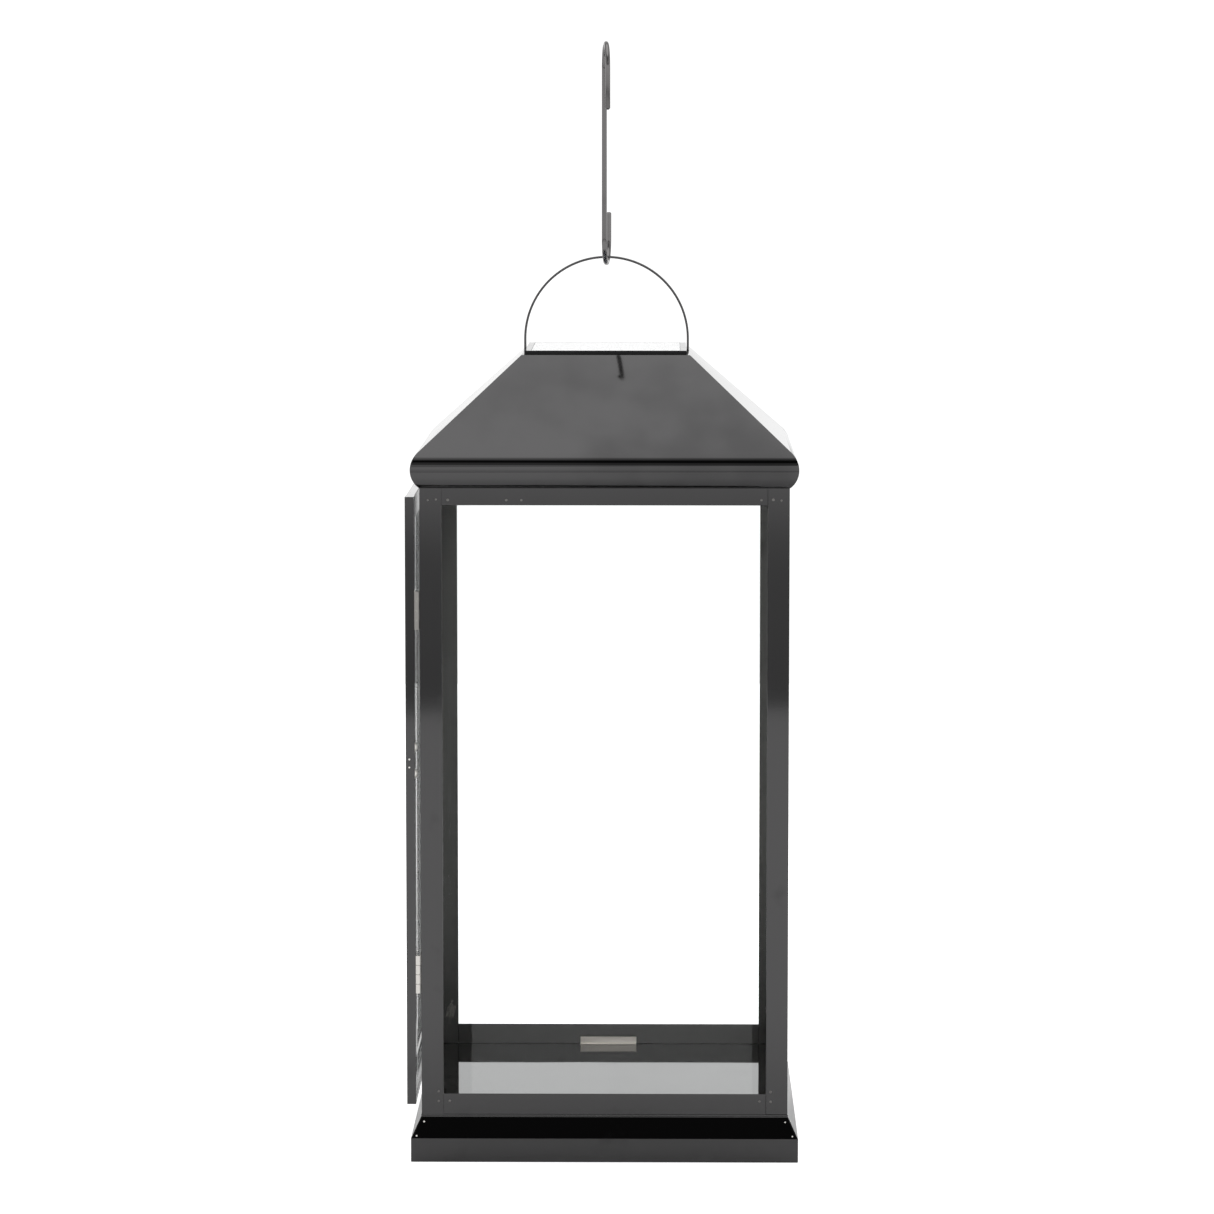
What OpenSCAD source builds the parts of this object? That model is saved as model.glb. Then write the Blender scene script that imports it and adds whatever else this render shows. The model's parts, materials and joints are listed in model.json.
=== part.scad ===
/* [Frame] */
// Width of the square frame over its corner posts
frame_w = 244; // [200:1:300]
// Height of the frame from the floor plate to its top
frame_h = 425; // [300:1:520]
// Width of each face of a corner post
post_w = 14.5; // [12:0.5:20]
// Thickness of the frame's sheet metal
frame_t = 1.5; // [1.2:0.1:2]
// Height of the bottom rails
low_rail_h = 14; // [10:1:24]
// Height of the top rails
top_rail_h = 17.2; // [14:0.1:26]

/* [Base] */
// How far the base skirt stands out past the frame on each side
base_flare = 7; // [4:0.5:12]
// Height of the upright skirt
skirt_h = 16; // [8:1:24]
// Height of the floor's top face above the ground
base_h = 31; // [28:1:40]
// Thickness of the sheet metal of the base
base_t = 1.2; // [0.8:0.1:1.6]
// How far the floor plate stands out past the frame
floor_lip = 0.4; // [0.2:0.1:1.5]

/* [Glazing] */
// Thickness of the glass
glass_t = 2; // [1.5:0.1:3]
// Gap between the glass and the metal around it
glass_gap = 0.2; // [0.1:0.05:0.5]
// Length of each clip that holds a pane
clip_l = 40; // [20:1:60]
// Height of the clips on the floor
clip_h = 5.4; // [4:0.1:8]
// Thickness of the clips
clip_t = 0.8; // [0.5:0.1:1.2]

/* [Roof] */
// How far the eave stands out past the frame
eave_out = 6; // [4:0.5:9]
// Radius of the round edge of the eave
eave_r = 15.6; // [13:0.1:18]
// Height of the middle of the round edge above the frame's top
eave_rise = 6.3; // [4:0.1:8]
// Height of the flat top above the middle of the round edge
roof_rise = 72; // [50:1:110]
// Thickness of the roof's sheet metal
roof_t = 1; // [0.8:0.1:1.4]
// Flat metal left outside the slots of the handle
slot_margin = 0.45; // [0.3:0.05:3]

/* [Handle] */
// Width of the strap
strap_w = 12; // [8:0.5:16]
// Thickness of the strap
strap_t = 1.5; // [1:0.1:2.5]
// Height of the centre of the arch above the flat top
handle_rise = 8.5; // [4:0.5:40]
// Gap between the strap and what it passes
handle_gap = 0.35; // [0.3:0.05:1]

/* [Hook] */
// Diameter of the hook's wire
wire_d = 3.5; // [3:0.1:5]
// Diameter of both crooks, from wire centre to wire centre
crook_d = 34; // [30:1:50]
// Length of the straight shank
shank_l = 113.7; // [60:0.1:160]
// Length of the straight tip of the upper crook
upper_tip = 27; // [8:1:50]
// Length of the straight tip of the lower crook
lower_tip = 17; // [8:1:30]
// Turn of each crook out of the plane of the shank
crook_turn = 4.5; // [0:0.5:10]
// Gap between the lower crook and the edges of the strap
hook_gap = 0.3; // [0.3:0.05:1]

/* [Door] */
// Thickness of the door
door_t = 6; // [5:0.5:9]
// Width of the bars of the door
door_bar_w = 15; // [12:0.5:22]
// How far the door covers the rails above and below the opening
door_lap = 6; // [3:0.5:9]
// Gap all round between the closed door and the frame
door_gap = 0.3; // [0.3:0.05:1]
// Depth of the groove that holds the door's glass
groove_d = 4; // [3:0.5:6]
// Height of the door's stops above its lower edge
stop_rise = 230.5; // [150:0.5:260]
// Distance between the two stops
stop_pitch = 17.8; // [10:0.2:40]
// Length of the finger pull
pull_l = 18; // [12:1:40]
// Width of the finger pull
pull_w = 15; // [12:0.5:20]

/* [Hinges] */
// Length of each hinge
hinge_l = 25.5; // [20:0.5:40]
// Diameter of the knuckles
knuckle_d = 3.4; // [3:0.1:5]
// Diameter of the hinge pins
pin_d = 1.6; // [1.2:0.1:1.8]
// Radial gap between a pin and its knuckles
pin_fit = 0.05; // [0.02:0.01:0.1]
// Thickness of the hinge leaves
leaf_t = 0.8; // [0.6:0.1:1]
// Width of a leaf from the pin to its edge
leaf_w = 18; // [15:0.5:24]
// Distance from the top of the door to the middle of the upper hinge
hinge_drop = 75; // [30:1:120]
// Distance from the bottom of the door to the middle of the lower hinge
hinge_lift = 88; // [30:1:120]
// Distance between the two rivets of a leaf
rivet_pitch = 14; // [10:0.5:18]

/* [Solar unit] */
// Width of the rim that lies on the flat top
unit_w = 108.4; // [100:0.2:140]
// Thickness of the rim
rim_t = 2.2; // [2:0.1:4]
// Thickness of the seal under the rim
seal_t = 0.6; // [0.4:0.1:1.5]
// Width of the box that hangs under the flat top
box_w = 84; // [80:1:101]
// Depth of the box
box_h = 26; // [24:1:40]
// Thickness of the walls of the box
wall_t = 2; // [1.6:0.1:3]
// Thickness of the cover under the box
cover_t = 2; // [1.5:0.1:3]
// Width of the solar panel
panel_w = 100; // [90:1:104]
// Thickness of the solar panel
panel_t = 1.2; // [0.8:0.1:1.4]
// Diameter of the battery cell
cell_d = 14.5; // [10:0.5:15]
// Length of the battery cell
cell_l = 50; // [40:1:55]
// Diameter of the lens under the lamp
lens_d = 24; // [18:1:28]
// Travel of the switch
switch_travel = 3; // [2:0.5:4]
// Gap between small parts that fit together
fit_gap = 0.3; // [0.3:0.05:0.5]

/* [Hidden] */
$fn = 64;
W = frame_w / 2;
frame_top = base_h + frame_h;
base_half = W + base_flare;
floor_half = W + floor_lip;
base_top = base_h - base_t;
pane_face = W - frame_t - glass_gap - glass_t;
eave_c = [W + eave_out - eave_r, frame_top + eave_rise];
roof_z = eave_c.y + roof_rise;
strap_in = unit_w / 2 + handle_gap;
strap_out = strap_in + strap_t;
roof_top = [strap_out + slot_margin, roof_z];
ledge_t = 1.2;
ledge_w = 22;
arch_z = roof_z + handle_rise;
slot_gap = 0.15;
foot_gap = 1;
knuckle_r = knuckle_d / 2;
pin_x = -W - knuckle_r;
door_face = -W - door_gap - door_t;
pin_y = door_face - knuckle_r;
door_x = W - door_gap;
door_low = base_h + low_rail_h - door_lap;
door_high = frame_top - top_rail_h + door_lap;
door_mid = (door_low + door_high) / 2;
hinge_z = [door_low + hinge_lift, door_high - hinge_drop];
open_turn = -270;
knuckles = 4;
leaf_start = knuckle_r + 0.4;
rivet_d = 1.8;
rivet_head_d = 3.2;
rivet_head_h = 0.5;
rivet_hole_gap = 0.05;
rivet_grip = 3;
door_rivet_x = pin_x + 10;
post_rivet_y = pin_y + 14.5;
stop_d = 6.6;
stop_h = 1.9;
stop_inset = 6;
pull_t = 1;
pull_reach = 4.3;
magnet = [8, 4, 20];
crook_r = crook_d / 2;
upper_step = 0.02;
strap_under = arch_z + strap_in;
hook_rise = sqrt(pow(crook_r - wire_d / 2 - hook_gap, 2) - pow(strap_w / 2, 2));
hook_z = strap_under + hook_rise;
rim_z = roof_z + seal_t;
panel_gap = 0.1;
panel_z = rim_z + rim_t - panel_t - panel_gap;
cover_z = rim_z - box_h;
boss_d = 6;
boss_in = 5.5;
screw_d = 2;
screw_hole_gap = 0.1;
screw_head_d = 3.8;
screw_head_h = 1.4;
screw_grip = 8;
board = [60, 46, 1.6];
board_y = 11;
board_z = cover_z + 6;
cell_y = -26;
cell_lift = 0.5;
lid = [62, 22, 1.2];
lid_plug_gap = 3;
lid_screw_x = 28.5;
led_d = 5;
led_hole_d = 14;
switch_x = 24;
switch_y = 20;
switch_w = 3.4;
lead_d = 1;
lead_x = 6;
lead_y = 26;

// A box given by its lowest and highest corners
module block(low, high) {
    translate(low) cube(high - low);
}

// A bar along Y whose outline is drawn in X and Z
module bar() {
    reach = 2 * (base_half + eave_out + eave_r);
    rotate([90, 0, 0]) linear_extrude(reach, center = true) children();
}

// The square-plan solid that looks the same from the front and from the side
module crossed() {
    intersection() {
        children();
        rotate([0, 0, 90]) children();
    }
}

// Turns a piece made for the front face to one of the four sides
module on_side(turns) {
    rotate([0, 0, 90 * turns]) children();
}

// Base

module base_outline(half_low, half_top, low, bend, high) {
    polygon([
        [-half_low, low], [half_low, low], [half_low, bend],
        [half_top, high], [-half_top, high], [-half_low, bend]
    ]);
}

module base_skirt() {
    rise = base_top - skirt_h;
    run = base_half - floor_half;
    side_t = base_t * norm([rise, run]) / rise;
    bend = skirt_h - (side_t - base_t) * rise / run;
    over = 1;
    color("dimgray") difference() {
        crossed() bar() base_outline(base_half, floor_half, 0, skirt_h, base_top);
        crossed() bar() base_outline(
            base_half - base_t, floor_half - side_t - over * run / rise, -over, bend, base_top + over
        );
    }
}

module base_plate() {
    half = base_half - base_t;
    color("gray") block([-half, -half, 0], [half, half, base_t]);
}

module floor_plate() {
    color("silver") block([-floor_half, -floor_half, base_top], [floor_half, floor_half, base_h]);
}

// Frame

module corner_post(turns) {
    holes = turns == 0;
    color("dimgray") difference() {
        on_side(turns) union() {
            block([-W, -W, base_h], [-W + post_w, -W + frame_t, frame_top]);
            block([-W, -W, base_h], [-W + frame_t, -W + post_w, frame_top]);
        }
        if (holes) post_rivet_places() rivet_hole(leaf_t + frame_t);
    }
}

module rail(turns, low, high) {
    half = W - post_w;
    color("dimgray") on_side(turns) block([-half, -W, low], [half, -W + frame_t, high]);
}

module low_rail(turns) {
    rail(turns, base_h, base_h + low_rail_h);
}

module top_rail(turns) {
    rail(turns, frame_top - top_rail_h, frame_top);
}

// Glazing

module pane(turns, half) {
    top_gap = clip_t + glass_gap;
    color("lightcyan", 0.35) on_side(turns)
        block([-half, -pane_face - glass_t, base_h], [half, -pane_face, frame_top - top_gap]);
}

module side_pane(turns) {
    pane(turns, W - frame_t - glass_gap);
}

module back_pane() {
    pane(2, pane_face - glass_gap);
}

module low_clip() {
    half = clip_l / 2;
    foot = 3;
    block([-half, -pane_face, base_h], [half, -pane_face + clip_t, base_h + clip_h]);
    block([-half, -pane_face, base_h], [half, -pane_face + foot, base_h + clip_t]);
}

module top_clip() {
    half = clip_l / 2;
    block([-half, -pane_face, frame_top - clip_h], [half, -pane_face + clip_t, frame_top]);
    block([-half, -W + frame_t, frame_top - clip_t], [half, -pane_face + clip_t, frame_top]);
}

module glass_clips_low() {
    color("tan") for (turns = [1:3]) on_side(turns) low_clip();
}

module glass_clips_top() {
    color("tan") for (turns = [1:3]) on_side(turns) top_clip();
}

// Roof

function touch_point(p, c, r) = let (
    v = p - c,
    turn = atan2(v.y, v.x) - acos(r / norm(v))
) c + r * [cos(turn), sin(turn)];

module roof_form(r, top, mouth) {
    bite = 0.03;
    deep = 0.97;
    touch = touch_point(top, eave_c, r - bite);
    reach = 2 * (base_half + eave_out + eave_r);
    crossed() {
        bar() polygon([
            [-top.x, top.y], top, touch, [eave_c.x, eave_c.y - deep * r],
            [-eave_c.x, eave_c.y - deep * r], [-touch.x, touch.y]
        ]);
        for (side = [-1, 1]) translate([side * eave_c.x, 0, eave_c.y])
            rotate([90, 0, 0]) cylinder(r = r, h = reach, center = true);
        if (mouth > 0) translate([0, 0, eave_c.y - r / 2]) cube([2 * mouth, reach, 2 * r], center = true);
    }
}

module roof_shell() {
    touch = touch_point(roof_top, eave_c, eave_r);
    slope = atan2(roof_top.y - touch.y, touch.x - roof_top.x);
    inner_top = roof_top - [roof_t * tan(slope / 2), roof_t];
    hole = box_w / 2 + fit_gap;
    slot_y = strap_w / 2 + slot_gap;
    over = 5;
    color("gray") difference() {
        roof_form(eave_r, roof_top, 0);
        roof_form(eave_r - roof_t, inner_top, W + slot_gap);
        block([-hole, -hole, roof_z - over], [hole, hole, roof_z + over]);
        for (side = [0, 180]) rotate([0, 0, side])
            block(
                [strap_in - slot_gap, -slot_y, roof_z - over],
                [strap_out + slot_gap, slot_y, roof_z + over]
            );
    }
}

module roof_ledge() {
    dip = eave_rise;
    inner = W - ledge_w;
    outer = eave_c.x + sqrt(pow(eave_r - roof_t, 2) - pow(dip, 2));
    color("dimgray") difference() {
        block([-outer, -outer, frame_top], [outer, outer, frame_top + ledge_t]);
        block([-inner, -inner, frame_top - ledge_t], [inner, inner, frame_top + 2 * ledge_t]);
    }
}

// Handle and hook

module handle_strap() {
    foot_top = roof_z - roof_t;
    foot_low = foot_top - strap_t;
    foot_in = box_w / 2 + fit_gap + foot_gap;
    half = strap_w / 2;
    color("dimgray") union() {
        translate([0, 0, arch_z]) rotate([90, 0, 0])
            rotate_extrude(angle = 180) translate([strap_in, -half]) square([strap_t, strap_w]);
        for (side = [0, 180]) rotate([0, 0, side]) {
            block([strap_in, -half, foot_low], [strap_out, half, arch_z]);
            block([foot_in, -half, foot_low], [strap_out, half, foot_top]);
        }
    }
}

// Half a ring of wire, in the plane of Y and Z: up = 1 bends over the top, up = -1 under
module half_ring(d, up) {
    rotate([90 * up, 0, 90]) rotate_extrude(angle = 180) translate([crook_r, 0]) circle(d = d);
}

// The straight end of a wire, tapered at its tip
module wire_end(d, length) {
    taper = d / 4;
    cylinder(d = d, h = length - taper);
    translate([0, 0, length - taper]) cylinder(d1 = d, d2 = d / 2, h = taper);
}

module hook() {
    upper_d = wire_d - upper_step;
    color("gray") translate([0, 0, hook_z]) rotate([0, 0, -crook_turn]) {
        half_ring(wire_d, -1);
        translate([0, crook_r, 0]) wire_end(wire_d, lower_tip);
        translate([0, -crook_r, 0]) cylinder(d = wire_d, h = shank_l / 2);
        translate([0, -crook_r, shank_l / 2]) rotate([0, 0, 2 * crook_turn]) {
            cylinder(d = upper_d, h = shank_l / 2);
            translate([0, -crook_r, shank_l / 2]) half_ring(upper_d, 1);
            translate([0, -crook_d, shank_l / 2]) mirror([0, 0, 1]) wire_end(upper_d, upper_tip);
        }
    }
}

// Door, made closed and turned open about its hinge pins

module opened() {
    translate([pin_x, pin_y, 0]) rotate([0, 0, open_turn]) translate([-pin_x, -pin_y, 0]) children();
}

module glass_groove() {
    middle = door_face + door_t / 2;
    half = glass_t / 2 + glass_gap;
    edge = door_bar_w - groove_d;
    block(
        [-door_x + edge, middle - half, door_low + edge],
        [door_x - edge, middle + half, door_high - edge]
    );
}

module door_bar(low, high) {
    color("dimgray") opened() difference() {
        block([low.x, door_face, low.y], [high.x, door_face + door_t, high.y]);
        glass_groove();
        door_rivet_places() rivet_hole(leaf_t + rivet_grip);
        pull_rivet_places() rivet_hole(pull_t + rivet_grip);
    }
}

module door_stile_hinge() {
    door_bar([-door_x, door_low], [-door_x + door_bar_w, door_high]);
}

module door_stile_free() {
    door_bar([door_x - door_bar_w, door_low], [door_x, door_high]);
}

module door_rail_low() {
    door_bar([-door_x + door_bar_w, door_low], [door_x - door_bar_w, door_low + door_bar_w]);
}

module door_rail_top() {
    door_bar([-door_x + door_bar_w, door_high - door_bar_w], [door_x - door_bar_w, door_high]);
}

module door_glass() {
    middle = door_face + door_t / 2;
    edge = door_bar_w - groove_d + glass_gap;
    color("lightcyan", 0.35) opened() block(
        [-door_x + edge, middle - glass_t / 2, door_low + edge],
        [door_x - edge, middle + glass_t / 2, door_high - edge]
    );
}

module door_stops() {
    ball_r = (pow(stop_d / 2, 2) + pow(stop_h, 2)) / (2 * stop_h);
    color("silver") opened() for (side = [-1, 1])
        translate([-door_x + stop_inset, door_face, door_low + stop_rise + side * stop_pitch / 2])
            intersection() {
                translate([0, ball_r - stop_h, 0]) sphere(ball_r);
                block([-stop_d, -stop_d, -stop_d], [stop_d, 0, stop_d]);
            }
}

module door_pull() {
    color("silver") opened() difference() {
        block(
            [door_x + pull_reach - pull_w, door_face - pull_t, door_mid - pull_l / 2],
            [door_x + pull_reach, door_face, door_mid + pull_l / 2]
        );
        pull_rivet_places() rivet_hole(pull_t);
    }
}

// Rivets: a place holds the outer face of what is riveted, with the rivet driven along +Y

module rivet_hole(length) {
    over = 0.01;
    rotate([-90, 0, 0]) translate([0, 0, -over])
        cylinder(d = rivet_d + 2 * rivet_hole_gap, h = length + over);
}

module rivet(length) {
    rotate([-90, 0, 0]) {
        cylinder(d = rivet_d, h = length);
        translate([0, 0, -rivet_head_h]) cylinder(d = rivet_head_d, h = rivet_head_h);
    }
}

module door_rivet_places() {
    for (z = hinge_z, side = [-1, 1])
        translate([door_rivet_x, door_face - leaf_t, z + side * rivet_pitch / 2]) children();
}

module pull_rivet_places() {
    for (side = [-1, 1])
        translate([door_x - door_bar_w / 2, door_face - pull_t, door_mid + side * pull_l / 4]) children();
}

module post_rivet_places() {
    for (z = hinge_z, side = [-1, 1])
        translate([-W - leaf_t, post_rivet_y, z + side * rivet_pitch / 2]) rotate([0, 0, -90]) children();
}

module door_rivets() {
    color("silver") opened() {
        door_rivet_places() rivet(leaf_t + rivet_grip);
        pull_rivet_places() rivet(pull_t + rivet_grip);
    }
}

module post_rivets() {
    color("silver") post_rivet_places() rivet(leaf_t + frame_t);
}

// Hinges: a leaf lies along +X from the pin, flat on the face of the door or the post

module leaf(first) {
    pitch = hinge_l / knuckles;
    free_gap = fit_gap / 2;
    difference() {
        union() {
            block(
                [leaf_start, knuckle_r - leaf_t, -hinge_l / 2],
                [leaf_w, knuckle_r, hinge_l / 2]
            );
            for (i = [first:2:knuckles - 1]) translate([0, 0, i * pitch - hinge_l / 2 + free_gap]) {
                cylinder(r = knuckle_r, h = pitch - 2 * free_gap);
                block([0, knuckle_r - leaf_t, 0], [leaf_start, knuckle_r, pitch - 2 * free_gap]);
            }
        }
        translate([0, 0, -hinge_l]) cylinder(d = pin_d + 2 * pin_fit, h = 2 * hinge_l);
    }
}

module door_leaf(z) {
    color("silver") opened() difference() {
        translate([pin_x, pin_y, z]) leaf(1);
        door_rivet_places() rivet_hole(leaf_t);
    }
}

module post_leaf(z) {
    color("silver") difference() {
        translate([pin_x, pin_y, z]) mirror([1, -1, 0]) leaf(0);
        post_rivet_places() rivet_hole(leaf_t);
    }
}

module hinge_pin(z) {
    color("gray") translate([pin_x, pin_y, z - hinge_l / 2]) cylinder(d = pin_d, h = hinge_l);
}

module catch_magnet() {
    low = [pane_face - fit_gap - magnet.x, -W + frame_t, door_mid - magnet.z / 2];
    color("black") block(low, low + magnet);
}

// Solar unit in the flat top

module unit_seal() {
    outer = unit_w / 2 - fit_gap;
    inner = box_w / 2 + fit_gap;
    color("black") difference() {
        block([-outer, -outer, roof_z], [outer, outer, rim_z]);
        block([-inner, -inner, roof_z - seal_t], [inner, inner, rim_z + seal_t]);
    }
}

module boss_places() {
    place = box_w / 2 - boss_in;
    for (x = [-place, place], y = [-place, place]) translate([x, y, 0]) children();
}

module lead_places() {
    for (side = [-1, 1]) translate([side * lead_x, lead_y, 0]) children();
}

module unit_housing() {
    rim = unit_w / 2;
    half = box_w / 2;
    inner = half - wall_t;
    pocket = panel_w / 2 + panel_gap;
    lug = [20, 1.8, 3];
    lug_z = roof_z - roof_t - panel_gap - lug.z;
    board_top = board_z + board.z;
    color("black") difference() {
        union() {
            block([-rim, -rim, rim_z], [rim, rim, rim_z + rim_t]);
            difference() {
                block([-half, -half, cover_z], [half, half, rim_z]);
                block([-inner, -inner, cover_z - wall_t], [inner, inner, rim_z]);
            }
            boss_places() translate([0, 0, cover_z]) cylinder(d = boss_d, h = box_h);
            for (side = [-1, 1]) translate([side * board.x / 3, board_y, board_top])
                cylinder(d = boss_d, h = rim_z - board_top);
            for (side = [0, 180]) rotate([0, 0, side]) translate([0, half, lug_z])
                block([-lug.x / 2, 0, 0], [lug.x / 2, lug.y, lug.z]);
        }
        block([-pocket, -pocket, panel_z], [pocket, pocket, rim_z + 2 * rim_t]);
        boss_places() translate([0, 0, cover_z - wall_t])
            cylinder(d = screw_d + screw_hole_gap, h = screw_grip + wall_t);
        lead_places() translate([0, 0, rim_z - wall_t]) cylinder(d = 2 * lead_d, h = 2 * rim_t);
    }
}

module solar_panel() {
    half = panel_w / 2;
    color("midnightblue") block([-half, -half, panel_z], [half, half, panel_z + panel_t]);
}

module panel_leads() {
    low = board_z + board.z;
    color("red") lead_places() translate([0, 0, low]) cylinder(d = lead_d, h = panel_z - low);
}

module circuit_board() {
    color("green") translate([-board.x / 2, board_y - board.y / 2, board_z]) cube(board);
}

module led_lamp() {
    barrel = 2.6;
    color("white") translate([0, 0, board_z - barrel]) {
        cylinder(d = led_d, h = barrel);
        sphere(d = led_d);
    }
}

module battery_cell() {
    nub_d = 5;
    nub_h = 1;
    axis_z = cover_z + cell_lift + cell_d / 2;
    color("orange") translate([-cell_l / 2, cell_y, axis_z]) rotate([0, 90, 0]) {
        cylinder(d = cell_d, h = cell_l - nub_h);
        cylinder(d = nub_d, h = cell_l);
    }
}

module battery_contacts() {
    plate = [0.5, 12, 12];
    axis_z = cover_z + cell_lift + cell_d / 2;
    color("silver") for (side = [0, 180]) translate([0, cell_y, axis_z]) rotate([0, 0, side])
        block([cell_l / 2, -plate.y / 2, -plate.z / 2], [cell_l / 2 + plate.x, plate.y / 2, plate.z / 2]);
}

module unit_cover() {
    half = box_w / 2;
    plug = [lid.x / 2 - lid_plug_gap - 3, lid.y / 2 - lid_plug_gap];
    over = 1;
    low = cover_z - cover_t - over;
    high = cover_z + over;
    slot_x = (switch_w + switch_travel) / 2 + fit_gap;
    slot_y = switch_w / 2 + fit_gap;
    slot_mid = switch_x + switch_travel / 2;
    color("black") difference() {
        block([-half, -half, cover_z - cover_t], [half, half, cover_z]);
        boss_places() translate([0, 0, low]) cylinder(d = screw_d + 2 * screw_hole_gap, h = high - low);
        translate([0, 0, low]) cylinder(d = led_hole_d, h = high - low);
        block([-plug.x, cell_y - plug.y, low], [plug.x, cell_y + plug.y, high]);
        block([slot_mid - slot_x, switch_y - slot_y, low], [slot_mid + slot_x, switch_y + slot_y, high]);
        lid_screw_places() translate([0, 0, low])
            cylinder(d = screw_d + screw_hole_gap, h = high - low);
    }
}

// A screw driven upwards, with its head's top face at the origin
module screw(length) {
    slot = [screw_head_d, 0.6, 0.6];
    difference() {
        union() {
            cylinder(d = screw_d, h = length);
            translate([0, 0, -screw_head_h]) cylinder(d = screw_head_d, h = screw_head_h);
        }
        for (turn = [0, 90]) rotate([0, 0, turn])
            block([-slot.x / 3, -slot.y / 2, -2 * screw_head_h], [slot.x / 3, slot.y / 2, slot.z - screw_head_h]);
    }
}

module cover_screws() {
    color("silver") boss_places() translate([0, 0, cover_z - cover_t]) screw(cover_t + screw_grip - 1);
}

module lid_screw_places() {
    for (side = [-1, 1]) translate([side * lid_screw_x, cell_y, 0]) children();
}

module battery_lid() {
    plug = [lid.x / 2 - lid_plug_gap - 3 - fit_gap, lid.y / 2 - lid_plug_gap - fit_gap];
    top = cover_z - cover_t;
    color("black") difference() {
        union() {
            block([-lid.x / 2, cell_y - lid.y / 2, top - lid.z], [lid.x / 2, cell_y + lid.y / 2, top]);
            block([-plug.x, cell_y - plug.y, top - lid.z], [plug.x, cell_y + plug.y, cover_z - fit_gap]);
        }
        lid_screw_places() translate([0, 0, top - 2 * lid.z])
            cylinder(d = screw_d + 2 * screw_hole_gap, h = 3 * lid.z);
    }
}

module lid_screws() {
    color("silver") lid_screw_places() translate([0, 0, cover_z - cover_t - lid.z])
        screw(lid.z + cover_t);
}

module lamp_lens() {
    flange_t = 1.2;
    top = cover_z - cover_t;
    dome_h = 5;
    ball_r = (pow(lens_d / 2 - 2, 2) + pow(dome_h, 2)) / (2 * dome_h);
    color("white", 0.6) union() {
        translate([0, 0, top - flange_t]) cylinder(d = lens_d, h = flange_t);
        intersection() {
            translate([0, 0, top - flange_t - dome_h + ball_r]) sphere(ball_r);
            translate([0, 0, top - flange_t - dome_h]) cylinder(d = lens_d - 2, h = dome_h);
        }
    }
}

module switch_body() {
    body = [10, 5, 3];
    mid = switch_x + switch_travel / 2;
    color("gray") translate([mid - body.x / 2, switch_y - body.y / 2, board_z - body.z]) cube(body);
}

module switch_slider() {
    body_h = 3;
    flange = [switch_w / 2 + 1.2, 1];
    high = board_z - body_h - fit_gap;
    low = cover_z - cover_t - 1.8;
    half = switch_w / 2;
    flange_z = cover_z + fit_gap;
    color("white") translate([switch_x, switch_y, 0]) {
        block([-half, -half, low], [half, half, high]);
        block([-flange.x, -flange.x, flange_z], [flange.x, flange.x, flange_z + flange.y]);
    }
}

base_plate();
base_skirt();
floor_plate();
corner_post(0);  // post_front_left
corner_post(1);  // post_front_right
corner_post(2);  // post_back_right
corner_post(3);  // post_back_left
low_rail(0);  // rail_low_front
low_rail(1);  // rail_low_right
low_rail(2);  // rail_low_back
low_rail(3);  // rail_low_left
top_rail(0);  // rail_top_front
top_rail(1);  // rail_top_right
top_rail(2);  // rail_top_back
top_rail(3);  // rail_top_left
side_pane(1);  // glass_right
back_pane();  // glass_back
side_pane(3);  // glass_left
glass_clips_low();
glass_clips_top();
roof_ledge();
roof_shell();
handle_strap();
hook();
door_stile_hinge();
door_stile_free();
door_rail_top();
door_rail_low();
door_glass();
door_leaf(hinge_z[1]);  // hinge_upper_door_leaf
door_leaf(hinge_z[0]);  // hinge_lower_door_leaf
door_rivets();
door_stops();
door_pull();
post_leaf(hinge_z[1]);  // hinge_upper_post_leaf
post_leaf(hinge_z[0]);  // hinge_lower_post_leaf
post_rivets();
hinge_pin(hinge_z[1]);  // hinge_upper_pin
hinge_pin(hinge_z[0]);  // hinge_lower_pin
catch_magnet();
unit_seal();
unit_housing();
solar_panel();
panel_leads();
circuit_board();
led_lamp();
battery_cell();
battery_contacts();
unit_cover();
cover_screws();
battery_lid();
lid_screws();
lamp_lens();
switch_body();
switch_slider();
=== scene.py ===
"""A square metal lantern with a solar lamp unit, dressed over its CAD frame.

Every piece of sheet, bar and wire takes its size from the CAD nodes, gets rounded edges and a
worked finish, and keeps riding on its own body.
"""

import json
import logging
import math
from dataclasses import dataclass, field
from enum import Enum
from typing import Callable, Sequence

import bmesh
import bpy
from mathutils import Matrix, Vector


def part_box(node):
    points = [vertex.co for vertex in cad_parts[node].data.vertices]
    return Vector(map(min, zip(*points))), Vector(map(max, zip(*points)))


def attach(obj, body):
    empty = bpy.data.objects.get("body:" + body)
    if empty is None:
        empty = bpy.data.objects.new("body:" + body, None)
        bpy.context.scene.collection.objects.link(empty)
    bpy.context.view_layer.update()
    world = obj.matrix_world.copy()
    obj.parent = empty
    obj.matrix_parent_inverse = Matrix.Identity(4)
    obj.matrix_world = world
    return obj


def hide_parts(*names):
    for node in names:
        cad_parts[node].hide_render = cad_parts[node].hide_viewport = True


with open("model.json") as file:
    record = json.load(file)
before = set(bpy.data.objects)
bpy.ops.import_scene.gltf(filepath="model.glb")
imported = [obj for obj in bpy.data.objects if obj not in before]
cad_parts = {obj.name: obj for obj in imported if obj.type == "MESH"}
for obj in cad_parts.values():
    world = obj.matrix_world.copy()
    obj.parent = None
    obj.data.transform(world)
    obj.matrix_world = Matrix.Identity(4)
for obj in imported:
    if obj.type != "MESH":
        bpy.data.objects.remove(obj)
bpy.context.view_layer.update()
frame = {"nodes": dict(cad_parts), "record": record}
LOG = logging.getLogger("lantern")
SEED = 7
MM = 0.001
CREASE = math.radians(28)
STRAP_CREASE = math.radians(40)
FLAT = math.radians(0.5)
MERGE = 1e-6

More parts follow.
